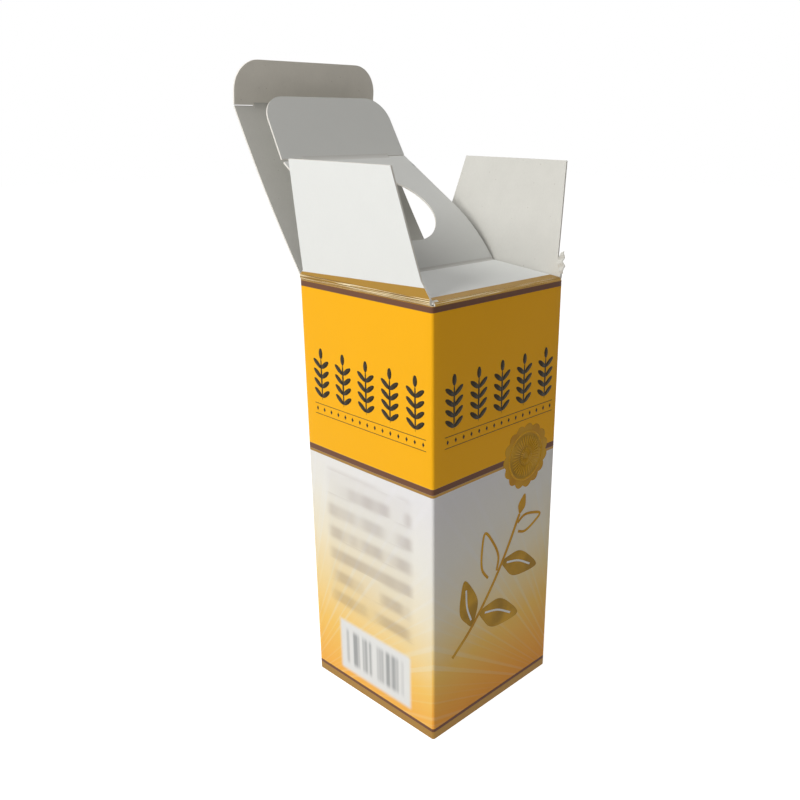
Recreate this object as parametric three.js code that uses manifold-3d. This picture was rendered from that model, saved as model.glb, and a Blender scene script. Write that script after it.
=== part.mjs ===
// Folding carton for a small bottle, standing open: a square printed tube with a closed bottom, a tuck-in lid on the
// back wall, a dust flap on each side wall and, on the front wall, an inner shelf whose round hole holds the neck of
// the bottle. The whole carton is cut and creased from one sheet of board. Each flap is a mesh of its own, because it
// turns at its crease.
// Millimetres, +Z up. The origin is the middle of the underside. The front wall faces -Y, the back wall +Y.
import * as THREE from "three";
import { mergeVertices } from "three/addons/utils/BufferGeometryUtils.js";
import Module from "manifold-3d";

const wasm = await Module();
wasm.setup();

// Sheet
const board = 0.5; // thickness of the board
const creaseGap = 0.15; // free edge of a panel to the line of its crease
const layerGap = 0.3; // between a tucked or side edge and the wall beside it

// Tube
const width = 50; // outside, left wall to right wall
const depth = 50; // outside, front wall to back wall
const height = 123; // underside to the creases at the rim
const cornerRadius = 0.8; // outside radius of the four upright creases
const seamTabWidth = 12; // glued tab inside the back wall
const seamTabEase = 3; // the tab stops this far short of the rim and of the floor

// Closed bottom
const floorTuckHeight = 14; // tab of the bottom panel, inside the front wall
const floorFlapLength = 20; // inner flaps that lie on the bottom panel
const floorFlapTaper = 3; // each side edge of an inner flap draws in by this much

// Lid, on the back wall
const lidLength = 49.6; // rim crease to tuck crease
const lidSideEase = 0.25; // lid edge inside the wall's outer face
const lidLean = 35; // degrees past upright at the rim, outwards
const lidBow = 8; // degrees that the bowed lid turns back inwards over its length
const lidTuckLength = 11.7;
const lidTuckFold = 34; // degrees inwards from the free end of the lid
const lidTuckCorner = 7.8; // corner radius

// Dust flaps, on the side walls
const dustLength = 30.8; // rim crease to free edge
const dustShoulder = 5; // height of the slanting shoulder at the front edge
const dustRearStep = 2; // height of the small step at the rear edge
const dustFootEase = 0.6; // foot to the corner of the tube
const dustShoulderInset = 2.2; // front edge at the top of the shoulder, from the foot's end
const dustFrontInset = 7.2; // front edge at the free edge, from the corner of the tube
const dustRearStepInset = 2.2; // rear edge at the top of the step, from the corner of the tube
const dustRearInset = 5.9; // rear edge at the free edge, from the corner of the tube
const leftDustLean = 11; // degrees past upright, outwards
const rightDustLean = 18;

// Neck shelf, on the front wall
const riserDepth = 24.4; // rim crease to shelf crease
const riserSideEase = 0.9; // riser edge inside the wall's outer face
const riserRise = 5; // degrees above level, towards the back
const shelfLength = 44; // along the curved board
const shelfBend = 21; // length of its curved part, from the riser crease on
const shelfStartAngle = 56; // degrees above level at the riser crease
const shelfEndAngle = 33; // degrees above level on its straight part
const shelfNarrowing = 1.9; // each side edge draws in by this much over the length
const neckHoleRadius = 13.3;
const neckHoleAt = 22.3; // riser crease to the hole's centre, along the board
const shelfTuckLength = 18.1;
const shelfTuckFold = 28; // degrees upwards from the straight part of the shelf
const shelfTuckCorner = 7; // corner radius
const shelfTuckNarrowing = 0.4;

// Facets
const bendSteps = 10;
const holeSegments = 48;
const cornerSegments = 6;

const insideHalfWidth = width / 2 - board;
const insideHalfDepth = depth / 2 - board;
const rad = THREE.MathUtils.degToRad;

const printedBoard = new THREE.MeshStandardMaterial({
  color: 0xfebe23,
  roughness: 0.45,
});
const coatedBoard = new THREE.MeshStandardMaterial({
  color: 0xe8ebe9,
  roughness: 0.6,
});

// A closed geometry as a solid for joining and cutting, and back.
function toSolid(geometry) {
  const bare = new THREE.BufferGeometry().setAttribute(
    "position",
    geometry.getAttribute("position"),
  );
  if (geometry.index) bare.setIndex(geometry.index);
  const merged = mergeVertices(bare, 1e-4);
  return new wasm.Manifold(
    new wasm.Mesh({
      numProp: 3,
      vertProperties: merged.attributes.position.array,
      triVerts: new Uint32Array(merged.index.array),
    }),
  );
}

function toGeometry(solid) {
  const mesh = solid.getMesh();
  const geometry = new THREE.BufferGeometry();
  geometry.setAttribute(
    "position",
    new THREE.BufferAttribute(mesh.vertProperties, 3),
  );
  geometry.setIndex(new THREE.BufferAttribute(mesh.triVerts, 1));
  geometry.computeVertexNormals();
  return geometry;
}

// A box between two corners.
function block([x0, y0, z0], [x1, y1, z1]) {
  return new THREE.BoxGeometry(x1 - x0, y1 - y0, z1 - z0).translate(
    (x0 + x1) / 2,
    (y0 + y1) / 2,
    (z0 + z1) / 2,
  );
}

function roundedSquare(halfWidth, halfDepth, radius) {
  const shape = new THREE.Shape();
  shape.moveTo(halfWidth, -halfDepth + radius);
  shape.lineTo(halfWidth, halfDepth - radius);
  shape.absarc(halfWidth - radius, halfDepth - radius, radius, 0, Math.PI / 2);
  shape.lineTo(-halfWidth + radius, halfDepth);
  shape.absarc(-halfWidth + radius, halfDepth - radius, radius, Math.PI / 2, Math.PI);
  shape.lineTo(-halfWidth, -halfDepth + radius);
  shape.absarc(-halfWidth + radius, -halfDepth + radius, radius, Math.PI, 1.5 * Math.PI);
  shape.lineTo(halfWidth - radius, -halfDepth);
  shape.absarc(halfWidth - radius, -halfDepth + radius, radius, 1.5 * Math.PI, 2 * Math.PI);
  return shape;
}

// Flat panel: the outline lies in the panel's plane, with the crease along x and the panel reaching along +y. Its
// outer face is at z = 0 and its inner face at z = board.
function panel(outline) {
  return new THREE.ExtrudeGeometry(outline, {
    depth: board,
    bevelEnabled: false,
    curveSegments: cornerSegments,
  });
}

// Outline of a tuck tab: straight sides that draw in a little, and two rounded corners at the free edge.
function tuckOutline(halfWidth, length, radius, narrowing) {
  const endHalfWidth = halfWidth - narrowing;
  const outline = new THREE.Shape();
  outline.moveTo(-halfWidth, creaseGap);
  outline.lineTo(halfWidth, creaseGap);
  outline.lineTo(endHalfWidth, length - radius);
  outline.absarc(endHalfWidth - radius, length - radius, radius, 0, Math.PI / 2);
  outline.lineTo(-endHalfWidth + radius, length);
  outline.absarc(-endHalfWidth + radius, length - radius, radius, Math.PI / 2, Math.PI);
  return outline;
}

function mesh(name, geometry, material) {
  const made = new THREE.Mesh(geometry, material);
  made.name = name;
  return made;
}

// The outer face of a board that starts along +y and bends evenly towards +z by a turn over a length, then runs on
// straight. Gives the point at a distance along it, moved by an offset towards the inner face.
function bentBoard(bendLength, turn) {
  const radius = bendLength / turn;
  return (along, offset = 0) => {
    const angle = Math.min(along / bendLength, 1) * turn;
    const straight = Math.max(along - bendLength, 0);
    return new THREE.Vector2(
      radius * Math.sin(angle) + straight * Math.cos(angle) - offset * Math.sin(angle),
      radius * (1 - Math.cos(angle)) + straight * Math.sin(angle) + offset * Math.cos(angle),
    );
  };
}

// A bent panel between two creases, as wide as its half width each way.
function bentPanel(pointAt, bendLength, length, halfWidth) {
  const end = length - creaseGap;
  const bendEnd = Math.min(bendLength, end);
  const alongs = [];
  for (let i = 0; i <= bendSteps; i++)
    alongs.push(creaseGap + ((bendEnd - creaseGap) * i) / bendSteps);
  if (end > bendEnd) alongs.push(end);
  const outerFace = alongs.map((along) => pointAt(along));
  const innerFace = alongs.map((along) => pointAt(along, board)).reverse();
  const profile = new THREE.Shape([...outerFace, ...innerFace]);
  // the profile is drawn in x and y and extruded along z: turned, it runs along y and z and is extruded along x
  return new THREE.ExtrudeGeometry(profile, { depth: 2 * halfWidth, bevelEnabled: false })
    .rotateY(Math.PI / 2)
    .rotateX(Math.PI / 2)
    .translate(-halfWidth, 0, 0);
}

// Places what hangs on a rim crease. A turn of 0 is the back wall, and a lean of 0 is upright.
function onRim(turn, distance, lean) {
  const side = new THREE.Group();
  side.rotation.z = rad(turn);
  const crease = new THREE.Group();
  crease.position.set(0, distance, height);
  crease.rotation.x = rad(90 - lean);
  side.add(crease);
  return { side, crease };
}

// The tube, its glued seam and its closed bottom.
function cartonBody() {
  const outline = roundedSquare(width / 2, depth / 2, cornerRadius);
  outline.holes.push(
    roundedSquare(insideHalfWidth, insideHalfDepth, cornerRadius - board),
  );
  const tube = new THREE.ExtrudeGeometry(outline, {
    depth: height - creaseGap,
    bevelEnabled: false,
    curveSegments: cornerSegments,
  });
  // the riser folds inwards over the front wall, so this wall ends one board lower
  const frontRim = block(
    [-insideHalfWidth, -depth, height - board - creaseGap],
    [insideHalfWidth, -insideHalfDepth + board, height + board],
  );
  const seamTab = block(
    [-insideHalfWidth - board / 2, insideHalfDepth - board, board + seamTabEase],
    [-insideHalfWidth + seamTabWidth, insideHalfDepth + board / 2, height - seamTabEase],
  );
  const floorHalfWidth = insideHalfWidth - layerGap;
  const tuckFace = -insideHalfDepth + layerGap;
  const floorPanel = block(
    [-floorHalfWidth, tuckFace, 0],
    [floorHalfWidth, insideHalfDepth + board / 2, board],
  );
  const floorTuck = block(
    [-floorHalfWidth, tuckFace, board / 2],
    [floorHalfWidth, tuckFace + board, floorTuckHeight],
  );
  const floorFlap = new THREE.Shape();
  const flapFoot = insideHalfDepth - board - 2 * layerGap;
  floorFlap.moveTo(-insideHalfWidth - board / 2, -flapFoot);
  floorFlap.lineTo(-insideHalfWidth + floorFlapLength, -flapFoot + floorFlapTaper);
  floorFlap.lineTo(-insideHalfWidth + floorFlapLength, flapFoot - floorFlapTaper);
  floorFlap.lineTo(-insideHalfWidth - board / 2, flapFoot);
  const leftFloorFlap = panel(floorFlap).translate(0, 0, board);
  const rightFloorFlap = leftFloorFlap.clone().rotateZ(Math.PI);
  const solid = toSolid(tube)
    .subtract(toSolid(frontRim))
    .add(toSolid(seamTab))
    .add(toSolid(floorPanel))
    .add(toSolid(floorTuck))
    .add(toSolid(leftFloorFlap))
    .add(toSolid(rightFloorFlap));
  return mesh("carton_body", toGeometry(solid), printedBoard);
}

// The lid and its tuck tab, which folds towards the inside.
function lid() {
  const { side, crease } = onRim(0, depth / 2, lidLean);
  const halfWidth = width / 2 - lidSideEase;
  const pointAt = bentBoard(lidLength, rad(lidBow));
  const lidPanel = bentPanel(pointAt, lidLength, lidLength, halfWidth);
  crease.add(mesh("lid_panel", lidPanel, printedBoard));
  const tuckCrease = new THREE.Group();
  const lidEnd = pointAt(lidLength, board);
  tuckCrease.position.set(0, lidEnd.x, lidEnd.y);
  tuckCrease.rotation.x = rad(lidBow + lidTuckFold);
  const tuck = panel(
    tuckOutline(halfWidth, lidTuckLength, lidTuckCorner, 0),
  ).translate(0, 0, -board);
  tuckCrease.add(mesh("lid_tuck", tuck, coatedBoard));
  crease.add(tuckCrease);
  return side;
}

// A dust flap. Front is +1 where the front edge of the flap lies towards +x of its crease, else -1.
function dustFlap(name, turn, front, lean) {
  const { side, crease } = onRim(turn, width / 2, lean);
  const corner = depth / 2;
  const points = [
    [-front * (corner - dustFootEase), creaseGap],
    [front * (corner - dustFootEase), creaseGap],
    [front * (corner - dustFootEase - dustShoulderInset), dustShoulder],
    [front * (corner - dustFrontInset), dustLength],
    [-front * (corner - dustRearInset), dustLength],
    [-front * (corner - dustRearStepInset), dustRearStep],
  ].map(([x, y]) => new THREE.Vector2(x, y));
  crease.add(mesh(name, panel(new THREE.Shape(points)), coatedBoard));
  return side;
}

// The riser from the front rim, the shelf with its neck hole, and the shelf's own tuck tab.
function neckShelf() {
  const { side, crease } = onRim(180, depth / 2, riserRise - 90);
  const riserHalfWidth = width / 2 - riserSideEase;
  const riserStart = board + creaseGap;
  const outline = new THREE.Shape();
  outline.moveTo(-riserHalfWidth, riserStart);
  outline.lineTo(riserHalfWidth, riserStart);
  outline.lineTo(riserHalfWidth, riserDepth - creaseGap);
  outline.lineTo(-riserHalfWidth, riserDepth - creaseGap);
  crease.add(mesh("neck_riser", panel(outline), coatedBoard));

  const shelfCrease = new THREE.Group();
  shelfCrease.position.set(0, riserDepth, 0);
  shelfCrease.rotation.x = -rad(shelfStartAngle - riserRise);
  const turn = rad(shelfStartAngle - shelfEndAngle);
  const pointAt = bentBoard(shelfBend, turn);
  const strip = bentPanel(pointAt, shelfBend, shelfLength, riserHalfWidth);
  const shelfEnd = pointAt(shelfLength);
  const endHalfWidth = riserHalfWidth - shelfNarrowing;
  const plan = new THREE.Shape();
  plan.moveTo(-riserHalfWidth, 0);
  plan.lineTo(riserHalfWidth, 0);
  plan.lineTo(endHalfWidth, shelfEnd.x);
  plan.lineTo(-endHalfWidth, shelfEnd.x);
  const sides = new THREE.ExtrudeGeometry(plan, {
    depth: 2 * shelfLength,
    bevelEnabled: false,
  }).translate(0, 0, -shelfLength);
  const holeCentre = pointAt(neckHoleAt, board / 2);
  const hole = new THREE.CylinderGeometry(
    neckHoleRadius,
    neckHoleRadius,
    neckHoleRadius,
    holeSegments,
  )
    .rotateX(Math.PI / 2 + turn)
    .translate(0, holeCentre.x, holeCentre.y);
  const shelf = toSolid(strip).intersect(toSolid(sides)).subtract(toSolid(hole));
  shelfCrease.add(mesh("neck_shelf", toGeometry(shelf), coatedBoard));

  const tuckCrease = new THREE.Group();
  tuckCrease.position.set(0, shelfEnd.x, shelfEnd.y);
  tuckCrease.rotation.x = turn - rad(shelfTuckFold);
  const tuck = panel(
    tuckOutline(endHalfWidth, shelfTuckLength, shelfTuckCorner, shelfTuckNarrowing),
  );
  tuckCrease.add(mesh("shelf_tuck", tuck, coatedBoard));
  shelfCrease.add(tuckCrease);
  crease.add(shelfCrease);
  return side;
}

const carton = new THREE.Group();
carton.add(cartonBody());
carton.add(lid());
carton.add(dustFlap("left_dust_flap", 90, -1, leftDustLean));
carton.add(dustFlap("right_dust_flap", -90, 1, rightDustLean));
carton.add(neckShelf());

export default carton;
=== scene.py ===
"""Dresses the open folding carton: printed board walls, raised flaps, neck shelf and foil print."""
import math

import bmesh
import bpy
import numpy as np
from mathutils import Matrix, Vector
from mathutils.geometry import delaunay_2d_cdt


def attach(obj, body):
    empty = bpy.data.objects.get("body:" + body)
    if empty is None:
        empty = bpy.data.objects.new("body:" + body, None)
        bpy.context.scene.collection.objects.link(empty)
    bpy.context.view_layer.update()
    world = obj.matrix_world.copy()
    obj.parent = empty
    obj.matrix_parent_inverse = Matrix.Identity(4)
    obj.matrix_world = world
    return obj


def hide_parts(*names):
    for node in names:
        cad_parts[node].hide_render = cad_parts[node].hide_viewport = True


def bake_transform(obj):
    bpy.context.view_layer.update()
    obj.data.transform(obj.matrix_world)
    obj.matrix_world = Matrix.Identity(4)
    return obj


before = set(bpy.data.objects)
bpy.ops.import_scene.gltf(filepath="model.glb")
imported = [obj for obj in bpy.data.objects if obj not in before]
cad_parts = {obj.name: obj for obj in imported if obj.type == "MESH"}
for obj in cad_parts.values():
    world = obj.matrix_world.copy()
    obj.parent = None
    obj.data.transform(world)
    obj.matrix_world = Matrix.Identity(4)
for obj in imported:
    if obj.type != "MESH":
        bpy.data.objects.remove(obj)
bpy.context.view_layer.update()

# Camera
# The picture's own view: turned to the carton's front left corner and looking down at it, with the lens
# shifted, because the carton stands left of the middle of its sensor.
MM = 0.001
camera_turn = math.radians(-47.1346)
camera_height_angle = math.radians(20.1088)
camera_roll = math.radians(0.528)
camera_place = Vector((-165.11, -164.08, 163.8)) * MM
back = Vector(
    (
        math.sin(camera_turn) * math.cos(camera_height_angle),
        -math.cos(camera_turn) * math.cos(camera_height_angle),
        math.sin(camera_height_angle),
    )
)
level_right = (-back).cross(Vector((0, 0, 1))).normalized()
level_up = level_right.cross(-back)
right = level_right * math.cos(camera_roll) + level_up * math.sin(camera_roll)
up = level_up * math.cos(camera_roll) - level_right * math.sin(camera_roll)
focal_pixels = 865.93
frame_pixels = 800
camera_data = bpy.data.cameras.new("camera")
camera_data.sensor_width = 36.0
camera_data.lens = focal_pixels / frame_pixels * camera_data.sensor_width
camera_data.shift_x = -0.075
camera_data.shift_y = 0.04
camera_data.clip_start = 0.01
camera = bpy.data.objects.new("camera", camera_data)
camera.matrix_world = Matrix.LocRotScale(camera_place, Matrix((right, up, back)).transposed(), None)
bpy.context.scene.collection.objects.link(camera)
bpy.context.scene.camera = camera
bpy.context.scene.view_settings.view_transform = "Standard"

# Light
# One broad window-like lamp on the left, a weak one above the lid and a dim even surround. The camera and
# mirror-like rays see plain white.


def lamp(name, place, aim, size, energy, colour):
    """A round soft lamp that shines at its aim."""
    data = bpy.data.lights.new(name, "AREA")
    data.shape = "DISK"
    data.size = size
    data.energy = energy
    data.color = colour
    made = bpy.data.objects.new(name, data)
    made.matrix_world = (place - aim).to_track_quat("Z", "Y").to_matrix().to_4x4()
    made.location = place
    bpy.context.scene.collection.objects.link(made)


window_aim = Vector((0, 0, 100)) * MM
window_place = window_aim + Vector((-0.86, 0.02, 0.53))
ceiling_aim = Vector((0, 20, 150)) * MM
ceiling_place = Vector((-0.05, 0.1, 0.62))
lamp("window", window_place, window_aim, 0.55, 7.4, (1.0, 0.985, 0.96))
lamp("ceiling_fill", ceiling_place, ceiling_aim, 0.35, 0.34, (1.0, 1.0, 1.0))


def add(tree, kind, inputs=None, **settings):
    """A node with its settings; an input is set to a value or linked to a socket."""
    made = tree.nodes.new(kind)
    for name, value in settings.items():
        setattr(made, name, value)
    for name, value in (inputs or {}).items():
        if isinstance(value, bpy.types.NodeSocket):
            tree.links.new(value, made.inputs[name])
        else:
            made.inputs[name].default_value = value
    return made


def whitest(tree):
    """1 for rays of the camera, of gloss and through clear things, else 0."""
    path = add(tree, "ShaderNodeLightPath")
    seen = maths(tree, "MAXIMUM", path.outputs["Is Camera Ray"], path.outputs["Is Glossy Ray"])
    return maths(tree, "MAXIMUM", seen, path.outputs["Is Transmission Ray"])


def maths(tree, operation, a, b=0.0, c=0.0, clamp=False):
    made = add(tree, "ShaderNodeMath", {0: a, 1: b, 2: c}, operation=operation, use_clamp=clamp)
    return made.outputs[0]


world = bpy.data.worlds.new("surround")
world.use_nodes = True
air = world.node_tree
air.nodes.clear()
dim = add(air, "ShaderNodeBackground", {"Color": (1.0, 0.95, 0.895, 1), "Strength": 0.226})
white = add(air, "ShaderNodeBackground", {"Color": (1, 1, 1, 1), "Strength": 1.0})
either = add(air, "ShaderNodeMixShader", {0: whitest(air), 1: dim.outputs[0], 2: white.outputs[0]})
add(air, "ShaderNodeOutputWorld", {0: either.outputs[0]})
bpy.context.scene.world = world

# Floor
# A plain pale table that shows white to the camera and keeps a faint shadow of the carton.
floor_half = 2.0
floor_drop = 0.05 * MM
floor_mesh = bpy.data.meshes.new("floor")
floor_mesh.from_pydata(
    [(x * floor_half, y * floor_half, -floor_drop) for x, y in ((-1, -1), (1, -1), (1, 1), (-1, 1))],
    [],
    [(0, 1, 2, 3)],
)
floor = bpy.data.objects.new("floor", floor_mesh)
bpy.context.scene.collection.objects.link(floor)
floor_finish = bpy.data.materials.new("pale_table")
floor_finish.use_nodes = True
table = floor_finish.node_tree
table.nodes.clear()
matt = add(table, "ShaderNodeBsdfDiffuse", {"Color": (0.62, 0.62, 0.62, 1)})
glow = add(table, "ShaderNodeEmission", {"Color": (1, 1, 1, 1), "Strength": 0.89})
lit = add(table, "ShaderNodeAddShader", {0: matt.outputs[0], 1: glow.outputs[0]})
table_mix = add(table, "ShaderNodeMixShader", {0: whitest(table), 1: matt.outputs[0], 2: lit.outputs[0]})
add(table, "ShaderNodeOutputMaterial", {0: table_mix.outputs[0]})
floor_mesh.materials.append(floor_finish)

# Board
# The whole carton is one sheet of half-millimetre folding boxboard: cool white and coated outside, warm
# grey and unbleached inside, with a pale fibrous edge where the die cut it. Each flap is cut from it as a
# flat blank and then folded and bent into place.
BOARD = 0.5
coating = (238, 241, 240)


def srgb(red, green, blue):
    """A colour as read on screen, from 0 to 255, in linear light."""
    values = [v / 255 for v in (red, green, blue)]
    linear = [v / 12.92 if v <= 0.04045 else ((v + 0.055) / 1.055) ** 2.4 for v in values]
    return (*linear, 1.0)


def mix(tree, factor, a, b, how="MIX"):
    """Colour a where the factor is 0 and colour b where it is 1."""
    made = add(tree, "ShaderNodeMix", {0: factor, 6: a, 7: b}, data_type="RGBA", blend_type=how)
    return made.outputs[2]


def soft_step(tree, value, start, end):
    """0 below start, 1 above end, and smooth between them."""
    span = {"Value": value, "From Min": start, "From Max": end, "To Min": 0.0, "To Max": 1.0}
    return add(tree, "ShaderNodeMapRange", span, interpolation_type="SMOOTHSTEP").outputs["Result"]


def ramp(tree, value, stops):
    made = add(tree, "ShaderNodeValToRGB", {"Fac": value})
    elements = made.color_ramp.elements
    elements[0].position, elements[0].color = stops[0]
    elements[1].position, elements[1].color = stops[-1]
    for position, colour in stops[1:-1]:
        elements.new(position).color = colour
    return made.outputs["Color"]


def noise(tree, place, scale, detail, roughness=0.5, along_line=False):
    """Cloudy noise from 0 to 1, through space or along a line."""
    at, kind = ("W", "1D") if along_line else ("Vector", "3D")
    inputs = {at: place, "Scale": scale, "Detail": detail, "Roughness": roughness}
    return add(tree, "ShaderNodeTexNoise", inputs, noise_dimensions=kind).outputs[0]


def own_place(tree):
    """A point's place on its own object, in metres."""
    return add(tree, "ShaderNodeTexCoord").outputs["Object"]


def fibre_group():
    """Fibres and cloudy formation of paper: a shade about 1 and a height."""
    group = bpy.data.node_groups.new("paper_fibre", "ShaderNodeTree")
    for name, default in (("Fibre Size", 0.35), ("Cloud Size", 6.0), ("Contrast", 0.05)):
        socket = group.interface.new_socket(name, in_out="INPUT", socket_type="NodeSocketFloat")
        socket.default_value = default
    group.interface.new_socket("Shade", in_out="OUTPUT", socket_type="NodeSocketFloat")
    group.interface.new_socket("Height", in_out="OUTPUT", socket_type="NodeSocketFloat")
    given = add(group, "NodeGroupInput")
    place = own_place(group)
    fine_scale = maths(group, "DIVIDE", 1000.0, given.outputs["Fibre Size"])
    cloud_scale = maths(group, "DIVIDE", 1000.0, given.outputs["Cloud Size"])
    stretched = add(group, "ShaderNodeMapping", {"Vector": place, "Scale": (1.0, 1.0, 0.45)})
    fine = noise(group, stretched.outputs[0], fine_scale, 3.0, 0.6)
    cloud = noise(group, place, cloud_scale, 4.0, 0.55)
    both = maths(group, "ADD", maths(group, "MULTIPLY", fine, 0.45), maths(group, "MULTIPLY", cloud, 0.55))
    centred = maths(group, "SUBTRACT", both, 0.5)
    shade = maths(group, "MULTIPLY_ADD", centred, given.outputs["Contrast"], 1.0)
    add(group, "NodeGroupOutput", {"Shade": shade, "Height": fine})
    return group


paper_fibre = fibre_group()


def finish(name):
    """A material with its tree and its Principled BSDF."""
    made = bpy.data.materials.new(name)
    made.use_nodes = True
    return made, made.node_tree, made.node_tree.nodes["Principled BSDF"]


def millimetres(tree):
    """The sockets of a point's own x, y and z in millimetres."""
    scaled = add(tree, "ShaderNodeVectorMath", {0: own_place(tree), 3: 1000.0}, operation="SCALE")
    return add(tree, "ShaderNodeSeparateXYZ", {0: scaled.outputs[0]}).outputs


def fibre(tree, size, cloud, contrast):
    """The shade and height of the paper's fibre, for fibres and clouds of these sizes in millimetres."""
    sizes = {"Fibre Size": size, "Cloud Size": cloud, "Contrast": contrast}
    made = add(tree, "ShaderNodeGroup", sizes, node_tree=paper_fibre)
    return made.outputs["Shade"], made.outputs["Height"]


def shaded(tree, colour, shade):
    """A colour times a grey value."""
    grey = add(tree, "ShaderNodeCombineColor", {0: shade, 1: shade, 2: shade}).outputs[0]
    return mix(tree, 1.0, colour, grey, "MULTIPLY")


def emboss(tree, shader, height, strength, depth):
    made = add(tree, "ShaderNodeBump", {"Strength": strength, "Distance": depth * MM, "Height": height})
    tree.links.new(made.outputs[0], shader.inputs["Normal"])


def coated_face(name, colour):
    """The white outer face: clay coated, smooth, with a faint cloudiness and a low sheen."""
    made, tree, shader = finish(name)
    shade, height = fibre(tree, 0.5, 9.0, 0.07)
    tree.links.new(shaded(tree, colour, shade), shader.inputs["Base Color"])
    tree.links.new(maths(tree, "MULTIPLY_ADD", height, 0.2, 0.42), shader.inputs["Roughness"])
    shader.inputs["Specular IOR Level"].default_value = 0.4
    emboss(tree, shader, height, 0.12, 0.05)
    return made


def bare_face(name, colour):
    """The inner face: unbleached pulp, matt, with visible fibre and specks."""
    made, tree, shader = finish(name)
    shade, height = fibre(tree, 0.45, 5.0, 0.16)
    place = own_place(tree)
    specks = add(tree, "ShaderNodeTexVoronoi", {"Vector": place, "Scale": 420.0}).outputs["Distance"]
    speck = maths(tree, "SUBTRACT", 1.0, soft_step(tree, specks, 0.03, 0.1))
    base = shaded(tree, colour, shade)
    flecked = mix(tree, maths(tree, "MULTIPLY", speck, 0.25), base, srgb(120, 104, 84))
    tree.links.new(flecked, shader.inputs["Base Color"])
    shader.inputs["Roughness"].default_value = 0.88
    shader.inputs["Specular IOR Level"].default_value = 0.2
    emboss(tree, shader, height, 0.3, 0.06)
    return made


def cut_edge(name, colour):
    """The die-cut edge: pale, rough, streaked along the plies."""
    made, tree, shader = finish(name)
    shade, height = fibre(tree, 0.22, 2.5, 0.22)
    tree.links.new(shaded(tree, colour, shade), shader.inputs["Base Color"])
    shader.inputs["Roughness"].default_value = 0.95
    emboss(tree, shader, height, 0.5, 0.08)
    return made


white_coat = coated_face("coated_white", srgb(*coating))
grey_inside = bare_face("unbleached_inside", srgb(216, 216, 211))
pale_edge = cut_edge("cut_edge", srgb(238, 236, 230))
coated_faces = (white_coat, grey_inside, pale_edge)


def spaced(loop, spacing, closed=True):
    """The loop with points added, so that no side is longer than the spacing."""
    made = []
    ends = loop[1:] + loop[:1] if closed else loop[1:]
    for (x0, y0), (x1, y1) in zip(loop, ends):
        steps = max(1, math.ceil(math.hypot(x1 - x0, y1 - y0) / spacing))
        made += [(x0 + (x1 - x0) * i / steps, y0 + (y1 - y0) * i / steps) for i in range(steps)]
    return made if closed else made + [loop[-1]]


def within(points, loops):
    """Which points lie inside the first loop and outside the others."""
    inside = np.zeros(len(points), bool)
    for loop in loops:
        for (x0, y0), (x1, y1) in zip(loop, loop[1:] + loop[:1]):
            crosses = (y0 > points[:, 1]) != (y1 > points[:, 1])
            if y0 != y1:
                at = (x1 - x0) * (points[:, 1] - y0) / (y1 - y0) + x0
                inside ^= crosses & (points[:, 0] < at)
    return inside


def cut_blank(outline, holes=(), spacing=1.5):
    """Flat points and triangles of a blank with an outline and holes, fine enough to bend."""
    loops = [spaced(list(loop), spacing) for loop in (outline, *holes)]
    points = []
    edges = []
    for loop in loops:
        first = len(points)
        points += loop
        edges += [(first + i, first + (i + 1) % len(loop)) for i in range(len(loop))]
    rim = np.array(points)
    low = rim.min(0)
    high = rim.max(0)
    counts = np.maximum(1, np.round((high - low) / spacing).astype(int))
    across, along = (low[k] + (high[k] - low[k]) * np.arange(1, counts[k]) / counts[k] for k in (0, 1))
    grid = np.array([(x, y) for x in across for y in along]).reshape(-1, 2)
    if len(grid):
        apart = np.sqrt(((grid[:, None] - rim[None]) ** 2).sum(2)).min(1)
        grid = grid[within(grid, loops) & (apart > 0.55 * spacing)]
        points += [tuple(p) for p in grid]
    flat = [Vector(p) for p in points]
    made, _, triangles, _, _, _ = delaunay_2d_cdt(flat, edges, [], 0, 1e-6)
    made = np.array([tuple(p) for p in made])
    triangles = np.array([tuple(t) for t in triangles])
    middles = made[triangles].mean(1)
    triangles = triangles[within(middles, loops)]
    a, b, c = (made[triangles[:, k]] for k in range(3))
    turned = (b[:, 0] - a[:, 0]) * (c[:, 1] - a[:, 1]) - (b[:, 1] - a[:, 1]) * (c[:, 0] - a[:, 0]) < 0
    triangles[turned] = triangles[turned][:, ::-1]
    return made, triangles


def new_piece(name, points, faces, kinds, materials):
    """A mesh object from points in millimetres, with a material for each kind of face."""
    mesh = bpy.data.meshes.new(name)
    mesh.from_pydata([tuple(p) for p in np.asarray(points, float) * MM], [], faces)
    for material in materials:
        mesh.materials.append(material)
    mesh.polygons.foreach_set("material_index", kinds)
    mesh.validate()
    work = bmesh.new()
    work.from_mesh(mesh)
    for face in work.faces:
        face.smooth = True
    for edge in work.edges:
        edge.smooth = edge.calc_face_angle(0.0) < 0.6
    work.to_mesh(mesh)
    work.free()
    piece = bpy.data.objects.new(name, mesh)
    bpy.context.scene.collection.objects.link(piece)
    return piece


def sheet(name, blank, place, materials, thickness=BOARD):
    """Folds a flat blank into place as a closed piece of board: outer face, inner face and cut edge."""
    flat, triangles = blank
    outer = []
    inner = []
    for u, s in flat:
        point, inward = place(u, s)
        outer.append(point)
        inner.append(point + inward * thickness)
    a, b, c = (np.array(outer)[triangles[:, k]] for k in range(3))
    facing = (np.cross(b - a, c - a) * (np.array(inner)[triangles[:, 0]] - a)).sum()
    if facing > 0:
        triangles = triangles[:, ::-1]
    count = len(flat)
    sides = {}
    for t in triangles:
        for i, j in ((t[0], t[1]), (t[1], t[2]), (t[2], t[0])):
            sides[(int(i), int(j))] = True
    rim = [(i, j) for i, j in sides if (j, i) not in sides]
    faces = [tuple(int(k) for k in t) for t in triangles]
    faces += [tuple(int(k) + count for k in t[::-1]) for t in triangles]
    faces += [(j, i, i + count, j + count) for i, j in rim]
    kinds = [0] * len(triangles) + [1] * len(triangles) + [2] * len(rim)
    return new_piece(name, outer + inner, faces, kinds, materials)


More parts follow.
